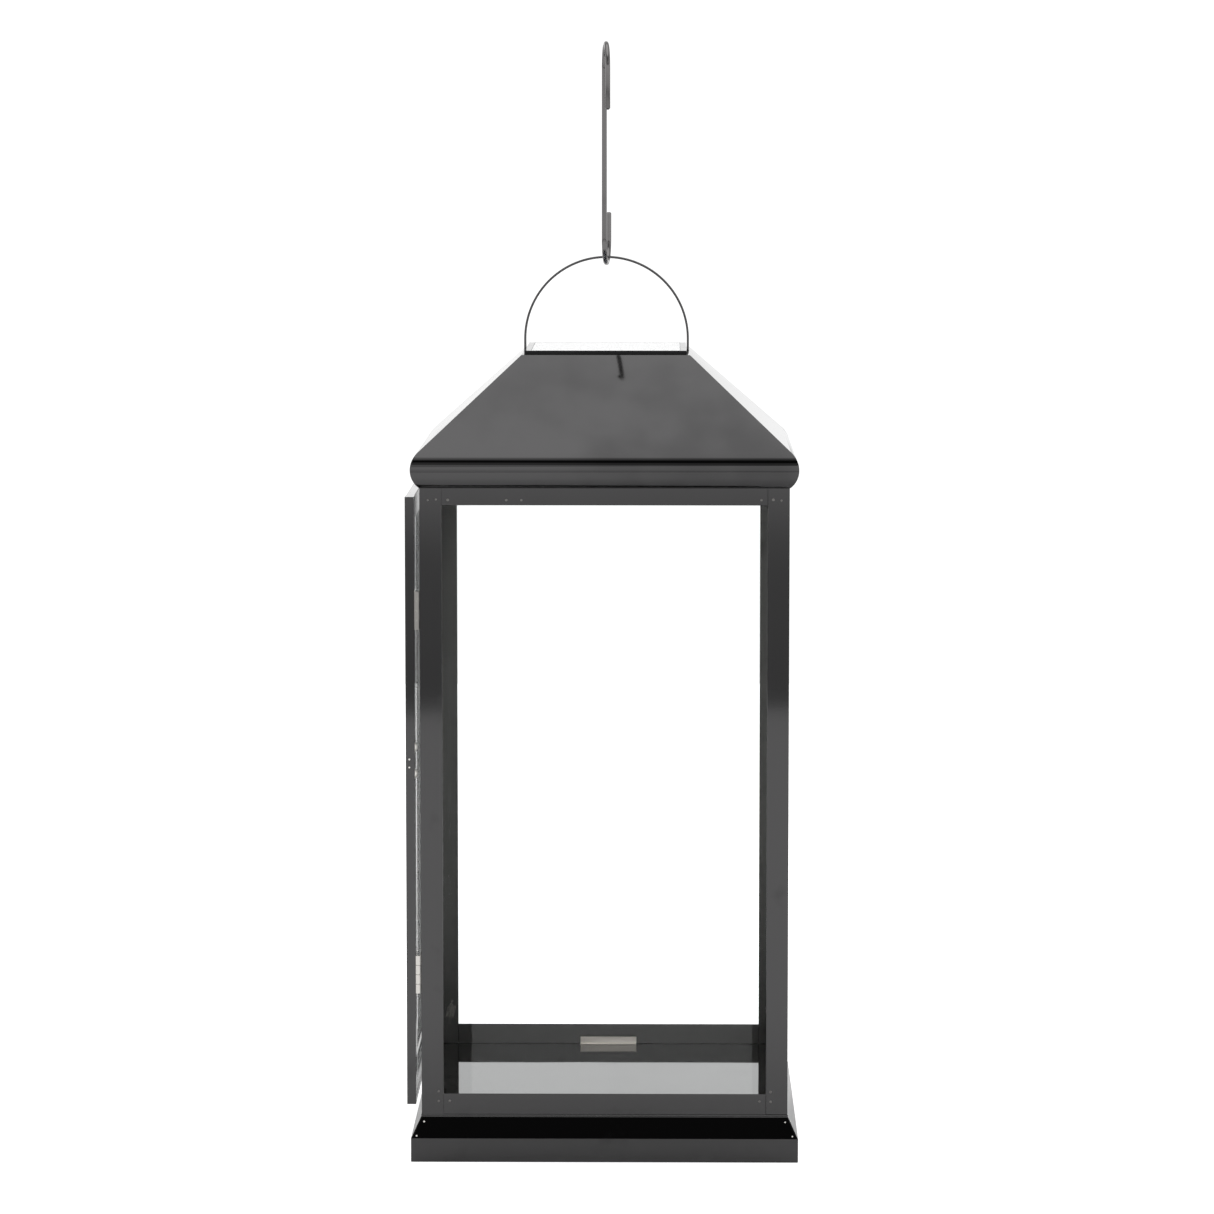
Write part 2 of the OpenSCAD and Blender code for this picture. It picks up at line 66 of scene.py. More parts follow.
Colour = tuple[float, float, float]
Point = tuple[float, float, float]
Spot = tuple[float, float, float, float]
Pair = tuple[float, float]


class Side(Enum):
    """The four sides of the lantern, as quarter turns from the front."""

    FRONT = 0
    RIGHT = 1
    BACK = 2
    LEFT = 3


# ---------------------------------------------------------------- node helpers


class Graph:
    """A thin wrapper for adding and linking nodes in one tree."""

    def __init__(self, tree: bpy.types.NodeTree) -> None:
        """Starts with an empty tree.

        Args:
            tree: the node tree to fill.
        """
        self.tree = tree
        tree.nodes.clear()

    def add(self, kind: str, values: dict | None = None, **settings: object) -> bpy.types.Node:
        """Adds a node.

        Args:
            kind: the node's type name.
            values: input values or the sockets that feed them, by input name or index.
            settings: attributes set on the node.
        Returns:
            The new node.
        """
        node = self.tree.nodes.new(kind)
        for name, value in settings.items():
            setattr(node, name, value)
        for name, value in (values or {}).items():
            self.put(node.inputs[name], value)
        return node

    def put(self, socket: bpy.types.NodeSocket, value: object) -> None:
        """Feeds an input from another node's output, or sets its constant value.

        Args:
            socket: the input.
            value: an output socket, or a plain value.
        """
        if isinstance(value, bpy.types.NodeSocket):
            self.tree.links.new(value, socket)
        elif isinstance(value, tuple) and len(value) == 3 and len(socket.default_value) == 4:
            socket.default_value = (*value, 1.0)
        else:
            socket.default_value = value

    def math(
        self, operation: str, a: object, b: object = 0.0, clamp: bool = False
    ) -> bpy.types.NodeSocket:
        """One arithmetic step.

        Args:
            operation: the Math node's operation.
            a: first value or socket.
            b: second value or socket.
            clamp: whether the result is kept within 0 and 1.
        Returns:
            The result's socket.
        """
        node = self.add("ShaderNodeMath", {0: a, 1: b}, operation=operation, use_clamp=clamp)
        return node.outputs[0]

    def ramp(
        self,
        value: object,
        low: object,
        high: object,
        to_low: object = 0.0,
        to_high: object = 1.0,
        smooth: bool = True,
    ) -> bpy.types.NodeSocket:
        """Maps a value from one range to another.

        Args:
            value: what is mapped.
            low: start of the input range.
            high: end of the input range.
            to_low: result at low.
            to_high: result at high.
            smooth: whether it eases in and out, and isn't a straight line.
        Returns:
            The result's socket.
        """
        node = self.add(
            "ShaderNodeMapRange",
            {"Value": value, "From Min": low, "From Max": high, "To Min": to_low, "To Max": to_high},
            interpolation_type="SMOOTHSTEP" if smooth else "LINEAR",
        )
        return node.outputs["Result"]

    def mix(self, factor: object, a: object, b: object) -> bpy.types.NodeSocket:
        """Mixes two colours.

        Args:
            factor: share of the second colour.
            a: first colour.
            b: second colour.
        Returns:
            The mixed colour's socket.
        """
        node = self.add("ShaderNodeMix", data_type="RGBA")
        self.put(node.inputs[0], factor)
        self.put(node.inputs[6], a)
        self.put(node.inputs[7], b)
        return node.outputs[2]


def shader_group(
    name: str, inputs: Sequence[tuple[str, str, float]], outputs: Sequence[tuple[str, str]]
) -> tuple[Graph, bpy.types.Node, bpy.types.Node]:
    """Makes an empty shader group with its sockets.

    Args:
        name: the group's name.
        inputs: name, socket type and default of each input.
        outputs: name and socket type of each output.
    Returns:
        The graph, the group's input node and its output node.
    """
    tree = bpy.data.node_groups.new(name, "ShaderNodeTree")
    for label, kind, default in inputs:
        tree.interface.new_socket(label, in_out="INPUT", socket_type=kind).default_value = default
    for label, kind in outputs:
        tree.interface.new_socket(label, in_out="OUTPUT", socket_type=kind)
    graph = Graph(tree)
    return graph, graph.add("NodeGroupInput"), graph.add("NodeGroupOutput")


FLOAT = "NodeSocketFloat"
VECTOR = "NodeSocketVector"


def make_smudges() -> bpy.types.NodeTree:
    """Soft handling marks: large cloudy patches broken by finer ones.

    Returns:
        A group that gives a mask from 0 to 1.
    """
    graph, given, out = shader_group(
        "soft smudges", [("Size", FLOAT, 30.0), ("Cover", FLOAT, 0.5)], [("Mask", FLOAT)]
    )
    coord = graph.add("ShaderNodeTexCoord").outputs["Object"]
    large = graph.add(
        "ShaderNodeTexNoise",
        {"Vector": coord, "Scale": given.outputs["Size"], "Detail": 3.0, "Roughness": 0.55},
    )
    fine_scale = graph.math("MULTIPLY", given.outputs["Size"], 4.3)
    fine = graph.add("ShaderNodeTexNoise", {"Vector": coord, "Scale": fine_scale, "Detail": 2.0})
    most = graph.math("MULTIPLY", large.outputs[0], 0.8)
    both = graph.math("ADD", most, graph.math("MULTIPLY", fine.outputs[0], 0.2))
    start = graph.math("SUBTRACT", 0.85, graph.math("MULTIPLY", given.outputs["Cover"], 0.6))
    graph.put(out.inputs["Mask"], graph.ramp(both, start, graph.math("ADD", start, 0.2)))
    return graph.tree


def make_sheet_waves() -> bpy.types.NodeTree:
    """The slight waviness and fine grain of rolled and polished sheet.

    Returns:
        A group that gives a normal.
    """
    graph, given, out = shader_group(
        "sheet waves",
        [("Wave", FLOAT, 0.05), ("Grain", FLOAT, 0.02)],
        [("Normal", VECTOR)],
    )
    coord = graph.add("ShaderNodeTexCoord").outputs["Object"]
    wave = graph.add("ShaderNodeTexNoise", {"Vector": coord, "Scale": 14.0, "Detail": 1.0})
    grain = graph.add("ShaderNodeTexNoise", {"Vector": coord, "Scale": 900.0, "Detail": 2.0})
    low = graph.add(
        "ShaderNodeBump",
        {"Strength": given.outputs["Wave"], "Distance": 0.004, "Height": wave.outputs[0]},
    )
    high = graph.add(
        "ShaderNodeBump",
        {
            "Strength": given.outputs["Grain"],
            "Distance": 0.0002,
            "Height": grain.outputs[0],
            "Normal": low.outputs[0],
        },
    )
    graph.put(out.inputs["Normal"], high.outputs[0])
    return graph.tree


def make_scratches() -> bpy.types.NodeTree:
    """Fine straight lines that run along one axis, as drawing or brushing leaves.

    Returns:
        A group that gives a line value from 0 to 1.
    """
    graph, given, out = shader_group(
        "drawn lines",
        [("Along X", FLOAT, 1.0), ("Along Y", FLOAT, 1.0), ("Along Z", FLOAT, 0.02)],
        [("Lines", FLOAT)],
    )
    coord = graph.add("ShaderNodeTexCoord").outputs["Object"]
    stretch = graph.add(
        "ShaderNodeCombineXYZ",
        {0: given.outputs["Along X"], 1: given.outputs["Along Y"], 2: given.outputs["Along Z"]},
    )
    scaled = graph.add("ShaderNodeVectorMath", {0: coord, 1: stretch.outputs[0]}, operation="MULTIPLY")
    lines = graph.add(
        "ShaderNodeTexNoise",
        {"Vector": scaled.outputs[0], "Scale": 1400.0, "Detail": 4.0, "Roughness": 0.7},
    )
    graph.put(out.inputs["Lines"], lines.outputs[0])
    return graph.tree


def make_dust() -> bpy.types.NodeTree:
    """Light dust that settles on faces turned upwards.

    Returns:
        A group that gives a mask from 0 to 1.
    """
    graph, given, out = shader_group("settled dust", [("Amount", FLOAT, 0.3)], [("Mask", FLOAT)])
    normal = graph.add("ShaderNodeNewGeometry").outputs["Normal"]
    up = graph.add("ShaderNodeSeparateXYZ", {0: normal}).outputs[2]
    coord = graph.add("ShaderNodeTexCoord").outputs["Object"]
    specks = graph.add("ShaderNodeTexNoise", {"Vector": coord, "Scale": 420.0, "Detail": 3.0}).outputs[0]
    facing = graph.ramp(up, 0.45, 1.0)
    spread = graph.ramp(specks, 0.45, 0.75)
    settled = graph.math("MULTIPLY", facing, spread)
    mask = graph.math("MULTIPLY", settled, given.outputs["Amount"], clamp=True)
    graph.put(out.inputs["Mask"], mask)
    return graph.tree


def linear(graph: Graph, value: object, at_zero: object, at_one: object) -> bpy.types.NodeSocket:
    """A straight mix of two numbers.

    Args:
        graph: the graph that gets the node.
        value: share of the second number.
        at_zero: result where the share is 0.
        at_one: result where the share is 1.
    Returns:
        The result's socket.
    """
    return graph.ramp(value, 0.0, 1.0, at_zero, at_one, smooth=False)


class Effects:
    """The shared shader groups, built once."""

    def __init__(self) -> None:
        """Builds every group."""
        self.smudges = make_smudges()
        self.waves = make_sheet_waves()
        self.lines = make_scratches()
        self.dust = make_dust()

    @staticmethod
    def use(
        graph: Graph, tree: bpy.types.NodeTree, output: str, **values: float
    ) -> bpy.types.NodeSocket:
        """Adds one group to a material.

        Args:
            graph: the material's graph.
            tree: the group.
            output: name of the wanted output.
            values: input values; an underscore stands for a space.
        Returns:
            The wanted output socket.
        """
        node = graph.add("ShaderNodeGroup", node_tree=tree)
        for name, value in values.items():
            graph.put(node.inputs[name.replace("_", " ")], value)
        return node.outputs[output]


# ---------------------------------------------------------------- finishes


NICKEL: Colour = (0.083, 0.082, 0.083)
DUST_ON_METAL: Colour = (0.42, 0.4, 0.37)
DUST_ON_PLASTIC: Colour = (0.35, 0.34, 0.31)
DUST_ON_CELLS: Colour = (0.25, 0.25, 0.24)


def new_material(name: str) -> tuple[bpy.types.Material, Graph]:
    """An empty node material.

    Args:
        name: the material's name.
    Returns:
        The material and its graph.
    """
    material = bpy.data.materials.new(name)
    material.use_nodes = True
    return material, Graph(material.node_tree)


@dataclass(frozen=True)
class MetalFinish:
    """Plated or bare metal.

    Attributes:
        name: what the finish is called.
        colour: reflected colour facing the metal.
        roughness: roughness where it is clean.
        smudged: extra roughness where it has been handled.
        darkening: how much smudges darken it.
        wave: depth of the sheet's waviness.
        grain: depth of the fine grain.
        dust: amount of settled dust.
        smudge_size: scale of the smudges, per metre.
        cover: share of the surface the smudges take.
        brushed: strength of drawn lines.
        line_axes: stretch of the drawn lines along X, Y and Z.
    """

    name: str
    colour: Colour
    roughness: float = 0.05
    smudged: float = 0.1
    darkening: float = 0.2
    wave: float = 0.03
    grain: float = 0.004
    dust: float = 0.1
    smudge_size: float = 25.0
    cover: float = 0.45
    brushed: float = 0.0
    line_axes: Point = (1.0, 1.0, 0.02)

    def build(self, effects: Effects) -> bpy.types.Material:
        """Builds the material.

        Args:
            effects: the shared groups.
        Returns:
            The material.
        """
        material, graph = new_material(self.name)
        smudge = effects.use(graph, effects.smudges, "Mask", Size=self.smudge_size, Cover=self.cover)
        dust = effects.use(graph, effects.dust, "Mask", Amount=self.dust)
        normal = effects.use(graph, effects.waves, "Normal", Wave=self.wave, Grain=self.grain)
        rough = graph.ramp(smudge, 0.0, 1.0, self.roughness, self.roughness + self.smudged)
        if self.brushed > 0:
            x, y, z = self.line_axes
            lines = effects.use(graph, effects.lines, "Lines", Along_X=x, Along_Y=y, Along_Z=z)
            rough = graph.math("ADD", rough, graph.math("MULTIPLY", lines, self.brushed))
            bump = graph.add(
                "ShaderNodeBump",
                {"Strength": self.brushed, "Distance": 0.0001, "Height": lines, "Normal": normal},
            )
            normal = bump.outputs[0]
        dark = tuple(channel * (1.0 - self.darkening) for channel in self.colour)
        colour = graph.mix(smudge, self.colour, dark)
        metal = graph.add(
            "ShaderNodeBsdfPrincipled",
            {"Base Color": colour, "Metallic": 1.0, "Roughness": rough, "Normal": normal},
        )
        film = graph.add("ShaderNodeBsdfPrincipled", {"Base Color": DUST_ON_METAL, "Roughness": 0.9})
        mixed = graph.add("ShaderNodeMixShader", {0: dust, 1: metal.outputs[0], 2: film.outputs[0]})
        graph.add("ShaderNodeOutputMaterial", {"Surface": mixed.outputs[0]})
        return material


@dataclass(frozen=True)
class PlasticFinish:
    """Moulded plastic, rubber, board or wrap.

    Attributes:
        name: what the finish is called.
        colour: main colour.
        second: colour of the faint cloudy variation.
        roughness: surface roughness.
        grain: depth of the moulded grain.
        dust: amount of settled dust.
        see_through: share of light let through.
        shine: strength of the reflection, facing the surface.
    """

    name: str
    colour: Colour
    second: Colour
    roughness: float = 0.4
    grain: float = 0.3
    dust: float = 0.1
    see_through: float = 0.0
    shine: float = 0.5

    def build(self, effects: Effects) -> bpy.types.Material:
        """Builds the material.

        Args:
            effects: the shared groups.
        Returns:
            The material.
        """
        material, graph = new_material(self.name)
        smudge = effects.use(graph, effects.smudges, "Mask", Size=60.0, Cover=0.6)
        dust = effects.use(graph, effects.dust, "Mask", Amount=self.dust)
        normal = effects.use(graph, effects.waves, "Normal", Wave=0.01, Grain=self.grain)
        colour = graph.mix(dust, graph.mix(smudge, self.colour, self.second), DUST_ON_PLASTIC)
        rough = graph.ramp(smudge, 0.0, 1.0, self.roughness, min(1.0, self.roughness * 1.35))
        body = graph.add(
            "ShaderNodeBsdfPrincipled",
            {
                "Base Color": colour,
                "Roughness": rough,
                "Normal": normal,
                "Transmission Weight": self.see_through,
                "Specular IOR Level": self.shine,
            },
        )
        graph.add("ShaderNodeOutputMaterial", {"Surface": body.outputs[0]})
        return material


@dataclass(frozen=True)
class GlassFinish:
    """Thin clear panes with faint wiping marks and a greener cut edge.

    Attributes:
        name: what the finish is called.
        tint: colour of light that passes straight through.
        marks: strength of the wiping marks.
    """

    name: str
    tint: Colour = (0.985, 0.995, 0.992)
    marks: float = 0.03

    def build(self, effects: Effects) -> bpy.types.Material:
        """Builds the material.

        Args:
            effects: the shared groups.
        Returns:
            The material.
        """
        material, graph = new_material(self.name)
        wipe = effects.use(graph, effects.smudges, "Mask", Size=9.0, Cover=0.5)
        lines = effects.use(graph, effects.lines, "Lines", Along_X=0.05, Along_Y=0.05, Along_Z=0.01)
        haze = graph.math("MULTIPLY", graph.math("MULTIPLY", wipe, lines), self.marks)
        clear = graph.add("ShaderNodeBsdfTransparent", {"Color": self.tint})
        mirror = graph.add("ShaderNodeBsdfGlossy", {"Color": (1.0, 1.0, 1.0), "Roughness": 0.01})
        film = graph.add("ShaderNodeBsdfDiffuse", {"Color": (0.8, 0.8, 0.78)})
        inside = graph.add("ShaderNodeNewGeometry").outputs["Backfacing"]
        fresnel = graph.add("ShaderNodeFresnel", {"IOR": linear(graph, inside, 1.5, 1 / 1.5)})
        pane = graph.add(
            "ShaderNodeMixShader", {0: fresnel.outputs[0], 1: clear.outputs[0], 2: mirror.outputs[0]}
        )
        mixed = graph.add("ShaderNodeMixShader", {0: haze, 1: pane.outputs[0], 2: film.outputs[0]})
        graph.add("ShaderNodeOutputMaterial", {"Surface": mixed.outputs[0]})
        return material


@dataclass(frozen=True)
class CellFinish:
    """Dark blue crystalline solar cells under clear resin.

    Attributes:
        name: what the finish is called.
        deep: the darkest crystal.
        bright: the brightest crystal.
    """

    name: str
    deep: Colour = (0.004, 0.007, 0.03)
    bright: Colour = (0.012, 0.03, 0.11)

    def build(self, effects: Effects) -> bpy.types.Material:
        """Builds the material.

        Args:
            effects: the shared groups.
        Returns:
            The material.
        """
        material, graph = new_material(self.name)
        coord = graph.add("ShaderNodeTexCoord").outputs["Object"]
        crystal = graph.add("ShaderNodeTexVoronoi", {"Vector": coord, "Scale": 220.0})
        shade = graph.add("ShaderNodeSeparateColor", {0: crystal.outputs["Color"]}).outputs[0]
        dust = effects.use(graph, effects.dust, "Mask", Amount=0.25)
        colour = graph.mix(dust, graph.mix(shade, self.deep, self.bright), DUST_ON_CELLS)
        rough = graph.ramp(dust, 0.0, 0.3, 0.12, 0.5)
        body = graph.add(
            "ShaderNodeBsdfPrincipled",
            {"Base Color": colour, "Roughness": rough, "Coat Weight": 0.6, "Coat Roughness": 0.05},
        )
        graph.add("ShaderNodeOutputMaterial", {"Surface": body.outputs[0]})
        return material


class Finishes:
    """Every finish of the lantern, built once and found by its record slot."""

    def __init__(self) -> None:
        """Builds the materials."""
        effects = Effects()
        plans: dict[str, MetalFinish | PlasticFinish | GlassFinish | CellFinish] = {
            "dark_nickel": MetalFinish("black nickel plate", NICKEL, wave=0.01),
            "roof_nickel": MetalFinish(
                "black nickel roof sheet",
                NICKEL,
                smudged=0.03,
                darkening=0.24,
                wave=0.012,
                dust=0.012,
                smudge_size=7.0,
                cover=0.62,
            ),
            "floor_mirror": MetalFinish(
                "polished floor plate", NICKEL, roughness=0.03, smudged=0.05, dust=0.02
            ),
            "inside_nickel": MetalFinish(
                "unpolished inside",
                (0.088, 0.085, 0.083),
                roughness=0.38,
                smudged=0.14,
                brushed=0.04,
                dust=0.0,
            ),
            "spot_nickel": MetalFinish("plated weld spots", (0.16, 0.155, 0.15), roughness=0.3),
            # painted glints: this near-white finish makes small dots and the door stops show as
            # highlights on the dark plating
            "weld_spots": MetalFinish("weld spots", (0.9, 0.88, 0.84), roughness=0.5),
            "base_steel": MetalFinish(
                "mill steel sheet",
                (0.32, 0.32, 0.33),
                roughness=0.3,
                smudged=0.2,
                wave=0.05,
                brushed=0.25,
                line_axes=(0.02, 1.0, 1.0),
            ),
            "hook_steel": MetalFinish(
                "drawn steel wire", (0.17, 0.165, 0.165), roughness=0.07, brushed=0.06
            ),
            "bright_nickel": MetalFinish("bright nickel plate", (0.62, 0.6, 0.57), smudge_size=120.0),
            "clip_steel": MetalFinish(
                "satin steel clip", (0.9, 0.86, 0.81), roughness=0.52, smudged=0.15, brushed=0.15
            ),
            "silver_lines": MetalFinish(
                "printed silver lines", (0.6, 0.6, 0.62), roughness=0.35, wave=0.0
            ),
            "glass": GlassFinish("float glass"),
            "unit_plastic": PlasticFinish(
                "black moulded plastic",
                (0.006, 0.006, 0.007),
                (0.01, 0.01, 0.011),
                roughness=0.1,
                grain=0.02,
                dust=0.05,
                shine=0.15,
            ),
            "seal_rubber": PlasticFinish(
                "closed-cell foam", (0.015, 0.015, 0.015), (0.03, 0.03, 0.03), roughness=0.85
            ),
            "solar_cells": CellFinish("solar cells"),
            "lead_plastic": PlasticFinish(
                "red insulation", (0.4, 0.02, 0.015), (0.3, 0.015, 0.012), roughness=0.35
            ),
            "board_green": PlasticFinish(
                "solder resist", (0.01, 0.12, 0.04), (0.008, 0.09, 0.03), roughness=0.3, grain=0.1
            ),
            "lens_plastic": PlasticFinish(
                "frosted lens",
                (0.8, 0.8, 0.76),
                (0.7, 0.7, 0.66),
                roughness=0.35,
                grain=0.1,
                see_through=0.6,
            ),
            "cell_wrap": PlasticFinish(
                "cell wrap", (0.08, 0.22, 0.07), (0.06, 0.17, 0.05), roughness=0.25, grain=0.05
            ),
            "switch_plastic": PlasticFinish(
                "grey switch plastic", (0.5, 0.5, 0.5), (0.42, 0.42, 0.42)
            ),
            "magnet": PlasticFinish(
                "ferrite", (0.03, 0.03, 0.032), (0.05, 0.05, 0.05), roughness=0.6, grain=0.5
            ),
        }
        self.materials = {slot: plan.build(effects) for slot, plan in plans.items()}

    def __getitem__(self, slot: str) -> bpy.types.Material:
        """The material of a slot.

        Args:
            slot: the slot's name.
        Returns:
            The material.
        """
        return self.materials[slot]


# ---------------------------------------------------------------- pieces


@dataclass(frozen=True)
class Rounding:
    """How a node's edges are rounded.

    Attributes:
        edge: width of the rounding, in millimetres.
        steps: segments across the rounding.
        finish: the finish, where it is not the slot's own.
    """

    edge: float
    steps: int = 3
    finish: str | None = None


class Workshop:
    """Turns CAD nodes into finished pieces and keeps the record's facts at hand."""

    def __init__(self, finishes: Finishes) -> None:
        """Reads which body and which slot each node has.

        Args:
            finishes: the materials.
        """
        self.finishes = finishes
        record = frame["record"]
        self.slots = {part["node"]: part["material_slot"] for part in record["subparts"]}
        bodies = record["behaviour"]["bodies"]
        self.bodies = {node: body for body, nodes in bodies.items() for node in nodes}
        self.reported: list[str] = []

    def box(self, node: str) -> tuple[Vector, Vector]:
        """The corners of a CAD node.

        Args:
            node: the node's name.
        Returns:
            Lowest and highest corner.
        """
        low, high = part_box(node)
        return Vector(low), Vector(high)

    def finish(
        self, piece: bpy.types.Object, body: str, slot: str, material: str | None = None
    ) -> bpy.types.Object:
        """Gives a piece the material of its slot, or the finish given, and its body.

        Args:
            piece: the object, in place.
            body: the CAD body it rides on.
            slot: the record's slot.
            material: the finish, where it is not the slot's own.
        Returns:
            The piece.
        """
        piece.data.materials.clear()
        piece.data.materials.append(self.finishes[material or slot])
        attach(piece, body)
        self.reported.append(piece.name)
        LOG.info("piece %s on %s, %d faces", piece.name, body, len(piece.data.polygons))
        return piece

    def rounded(self, node: str, plan: Rounding) -> bpy.types.Object:
        """A copy of a node with its edges rounded, in the node's place.

        Args:
            node: the CAD node.
            plan: how its edges are rounded.
        Returns:
            The finished piece.
        """
        mesh = frame["nodes"][node].data.copy()
        mesh.name = f"{node}_rounded"
        clean(mesh)
        piece = bpy.data.objects.new(f"{node}_rounded", mesh)
        bpy.context.scene.collection.objects.link(piece)
        bevel = piece.modifiers.new("rounded edges", "BEVEL")
        bevel.width = plan.edge * MM
        bevel.segments = plan.steps
        bevel.limit_method = "ANGLE"
        bevel.angle_limit = CREASE
        bevel.use_clamp_overlap = True
        bevel.harden_normals = True
        apply_modifiers(piece)
        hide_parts(node)
        return self.finish(piece, self.bodies[node], self.slots[node], plan.finish)

    def round_all(self, plans: dict[str, Rounding]) -> None:
        """Rounds several nodes in turn.

        Args:
            plans: how each node's edges are rounded, by node.
        """
        for node, plan in plans.items():
            self.rounded(node, plan)


def clean(mesh: bpy.types.Mesh) -> None:
    """Merges doubled points and joins flat triangles into faces.

    Args:
        mesh: the mesh, changed in place.
    """
    work = bmesh.new()
    work.from_mesh(mesh)
    bmesh.ops.remove_doubles(work, verts=work.verts, dist=MERGE)
    bmesh.ops.dissolve_limit(
        work, angle_limit=FLAT, verts=work.verts, edges=work.edges, use_dissolve_boundaries=False
    )
    bmesh.ops.recalc_face_normals(work, faces=work.faces)
    for face in work.faces:
        face.smooth = True
    work.to_mesh(mesh)
    work.free()
    mesh.set_sharp_from_angle(angle=CREASE)


def apply_modifiers(piece: bpy.types.Object) -> None:
    """Replaces a piece's mesh with its evaluated one and removes the modifiers.

    Args:
        piece: the object.
    """
    bpy.context.view_layer.update()
    graph = bpy.context.evaluated_depsgraph_get()
    mesh = bpy.data.meshes.new_from_object(piece.evaluated_get(graph), depsgraph=graph)
    piece.modifiers.clear()
    piece.data = mesh


# ---------------------------------------------------------------- geometry nodes


class Growth:
    """A geometry node tree with named inputs, run once on a base mesh."""

    def __init__(self, name: str, inputs: Sequence[tuple[str, str, object]]) -> None:
        """Starts the tree.

        Args:
            name: the tree's name.
            inputs: name, socket type and default of each input.
        """
        tree = bpy.data.node_groups.new(name, "GeometryNodeTree")
        tree.interface.new_socket("Geometry", in_out="INPUT", socket_type="NodeSocketGeometry")
        for label, kind, default in inputs:
            socket = tree.interface.new_socket(label, in_out="INPUT", socket_type=kind)
            if default is not None:
                socket.default_value = default
        tree.interface.new_socket("Geometry", in_out="OUTPUT", socket_type="NodeSocketGeometry")
        self.graph = Graph(tree)
        self.given = self.graph.add("NodeGroupInput")

    def close(self, geometry: bpy.types.NodeSocket, material: bpy.types.NodeSocket) -> None:
        """Ends the tree with real geometry and its material.

        Args:
            geometry: what is output.
            material: the material input.
        """
        real = self.graph.add("GeometryNodeRealizeInstances", {"Geometry": geometry})
        dressed = self.graph.add(
            "GeometryNodeSetMaterial", {"Geometry": real.outputs[0], "Material": material}
        )
        self.graph.add("NodeGroupOutput", {"Geometry": dressed.outputs[0]})

    def grow(
        self, name: str, base: bpy.types.Mesh, values: dict[str, object]
    ) -> bpy.types.Object:
        """Runs the tree on a mesh.

        Args:
            name: the new object's name.
            base: the mesh it starts from.
            values: input values by name.
        Returns:
            The new object with plain mesh.
        """
        piece = bpy.data.objects.new(name, base)
        bpy.context.scene.collection.objects.link(piece)
        modifier = piece.modifiers.new("growth", "NODES")
        modifier.node_group = self.graph.tree
        for item in self.graph.tree.interface.items_tree:
            is_input = item.item_type == "SOCKET" and item.in_out == "INPUT"
            if is_input and item.name in values:
                modifier[item.identifier] = values[item.name]
        apply_modifiers(piece)
        return piece


MATERIAL = "NodeSocketMaterial"
INTEGER = "NodeSocketInt"


def points_mesh(name: str, points: Sequence[Point], normals: Sequence[Point]) -> bpy.types.Mesh:
    """Loose points, each with the direction it faces.

    Args:
        name: the mesh's name.
        points: where they are.
        normals: which way each faces.
    Returns:
        The mesh, with the directions as the attribute "facing".
    """
    mesh = bpy.data.meshes.new(name)
    mesh.from_pydata([tuple(p) for p in points], [], [])
    facing = mesh.attributes.new("facing", "FLOAT_VECTOR", "POINT")
    facing.data.foreach_set("vector", [value for normal in normals for value in normal])
    return mesh


def path_mesh(name: str, points: Sequence[Point]) -> bpy.types.Mesh:
    """A chain of edges through points.

    Args:
        name: the mesh's name.
        points: the points in order.
    Returns:
        The mesh.
    """
    mesh = bpy.data.meshes.new(name)
    mesh.from_pydata([tuple(p) for p in points], [(i, i + 1) for i in range(len(points) - 1)], [])
    return mesh


def make_dots() -> Growth:
    """Low round dots, such as spot welds, on points that know which way they face.

    Returns:
        The tree, with inputs Radius, Height, Seed and Material.
    """
    grown = Growth(
        "round dots",
        [
            ("Radius", FLOAT, 0.0008),
            ("Height", FLOAT, 0.0002),
            ("Seed", INTEGER, SEED),
            ("Material", MATERIAL, None),
        ],
    )
    graph, given = grown.graph, grown.given
    ball = graph.add("GeometryNodeMeshUVSphere", {"Segments": 24, "Rings": 12, "Radius": 1.0})
    flat = graph.add(
        "ShaderNodeCombineXYZ",
        {0: given.outputs["Radius"], 1: given.outputs["Radius"], 2: given.outputs["Height"]},
    )
    facing = graph.add(
        "GeometryNodeInputNamedAttribute", {"Name": "facing"}, data_type="FLOAT_VECTOR"
    )
    turn = graph.add("FunctionNodeAlignRotationToVector", {"Vector": facing.outputs[0]}, axis="Z")
    vary = graph.add(
        "FunctionNodeRandomValue", {2: 0.85, 3: 1.15, "Seed": given.outputs["Seed"]}, data_type="FLOAT"
    )
    size = graph.add("ShaderNodeVectorMath", {0: flat.outputs[0], 3: vary.outputs[1]}, operation="SCALE")
    smooth = graph.add("GeometryNodeSetShadeSmooth", {"Geometry": ball.outputs[0]})
    put = graph.add(
        "GeometryNodeInstanceOnPoints",
        {
            "Points": given.outputs["Geometry"],
            "Instance": smooth.outputs[0],
            "Rotation": turn.outputs[0],
            "Scale": size.outputs[0],
        },
    )
    grown.close(put.outputs[0], given.outputs["Material"])
    return grown


